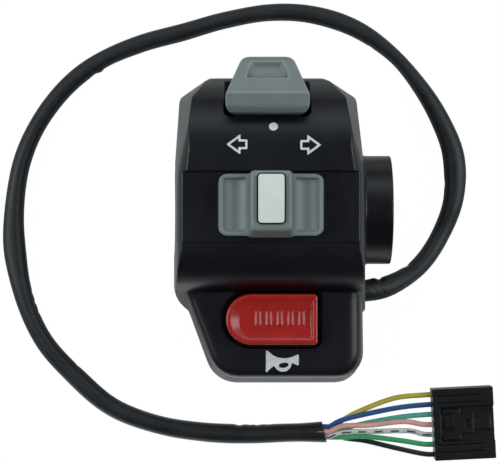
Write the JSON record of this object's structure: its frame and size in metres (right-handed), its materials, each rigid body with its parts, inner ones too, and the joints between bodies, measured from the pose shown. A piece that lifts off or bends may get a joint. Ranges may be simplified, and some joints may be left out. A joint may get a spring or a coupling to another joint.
{
  "type": "handlebar switch cluster",
  "caption": "Handlebar switch cluster: split clamp housing, dimmer rocker, turn slider with a cancel button, horn button, and a sleeved lead that ends in a flat connector.",
  "frame": {"origin": "on the handlebar axis, in the middle of the housing's width", "axes": "+X along the bar, out of the collar; +Y towards the dimmer rocker; +Z out of the front, towards the rider"},
  "size_m": [0.1259, 0.1174, 0.0544],
  "materials": {
    "housing_black": "moulded satin black, slightly bluish",
    "switch_grey": "moulded satin grey",
    "cancel_white": "moulded off-white, semi-gloss",
    "horn_red": "moulded red, semi-gloss",
    "screw_steel": "zinc plated",
    "contact_brass": "plain brass",
    "board_brown": "brown laminated board",
    "inner_grey": "moulded dark grey",
    "grommet_rubber": "black rubber",
    "sleeve_vinyl": "soft charcoal vinyl tube",
    "wire_yellow": "yellow wire insulation",
    "wire_blue": "blue wire insulation",
    "wire_teal": "blue-green wire insulation",
    "wire_pink": "pink wire insulation",
    "wire_white": "white wire insulation with a dark trace",
    "wire_green": "green wire insulation",
    "wire_black": "black wire insulation",
    "connector_black": "moulded black"
  },
  "bodies": {
    "housing": {"front_housing": "housing_black", "rear_housing": "housing_black", "clamp_screws": "screw_steel", "clamp_inserts": "contact_brass", "dimmer_pivot_pin": "screw_steel", "dimmer_base": "board_brown", "dimmer_terminals": "contact_brass", "turn_base": "board_brown", "turn_terminals": "contact_brass", "horn_spring": "screw_steel", "horn_base": "board_brown", "horn_terminals": "contact_brass", "base_screws": "screw_steel", "cable_grommet": "grommet_rubber", "cable_clamp": "inner_grey", "cable_clamp_screws": "screw_steel", "cable_sleeve": "sleeve_vinyl", "wire_yellow": "wire_yellow", "wire_blue": "wire_blue", "wire_teal": "wire_teal", "wire_pink": "wire_pink", "wire_white": "wire_white", "wire_green": "wire_green", "wire_black": "wire_black", "connector_housing": "connector_black", "connector_terminals": "contact_brass"},
    "dimmer": {"dimmer_rocker": "switch_grey", "dimmer_contact": "contact_brass", "dimmer_detent_ball": "screw_steel", "dimmer_detent_spring": "screw_steel"},
    "turn": {"turn_slider": "switch_grey", "turn_carriage": "inner_grey", "turn_contact_bridge": "contact_brass", "turn_detent_ball": "screw_steel", "turn_detent_spring": "screw_steel", "cancel_spring": "screw_steel"},
    "cancel": {"cancel_button": "cancel_white"},
    "horn": {"horn_button": "horn_red", "horn_contact": "contact_brass"}
  },
  "joints": [
    {"name": "dimmer_rock", "type": "hinge", "parent": "housing", "child": "dimmer", "pos_m": [-0.0008, 0.02553, 0.01982], "axis": [1, 0, 0], "range_deg": [0, 6]},
    {"name": "turn_slide", "type": "slide", "parent": "housing", "child": "turn", "axis": [1, 0, 0], "range_m": [-0.004, 0.004]},
    {"name": "cancel_push", "type": "slide", "parent": "turn", "child": "cancel", "axis": [0, 0, 1], "range_m": [-0.0015, 0], "stiffness_N_per_m": 300, "springref_m": 0.002, "deforming": ["cancel_spring"]},
    {"name": "horn_push", "type": "slide", "parent": "housing", "child": "horn", "axis": [0, 0, 1], "range_m": [-0.0025, 0], "stiffness_N_per_m": 600, "springref_m": 0.002, "deforming": ["horn_spring"]}
  ]
}
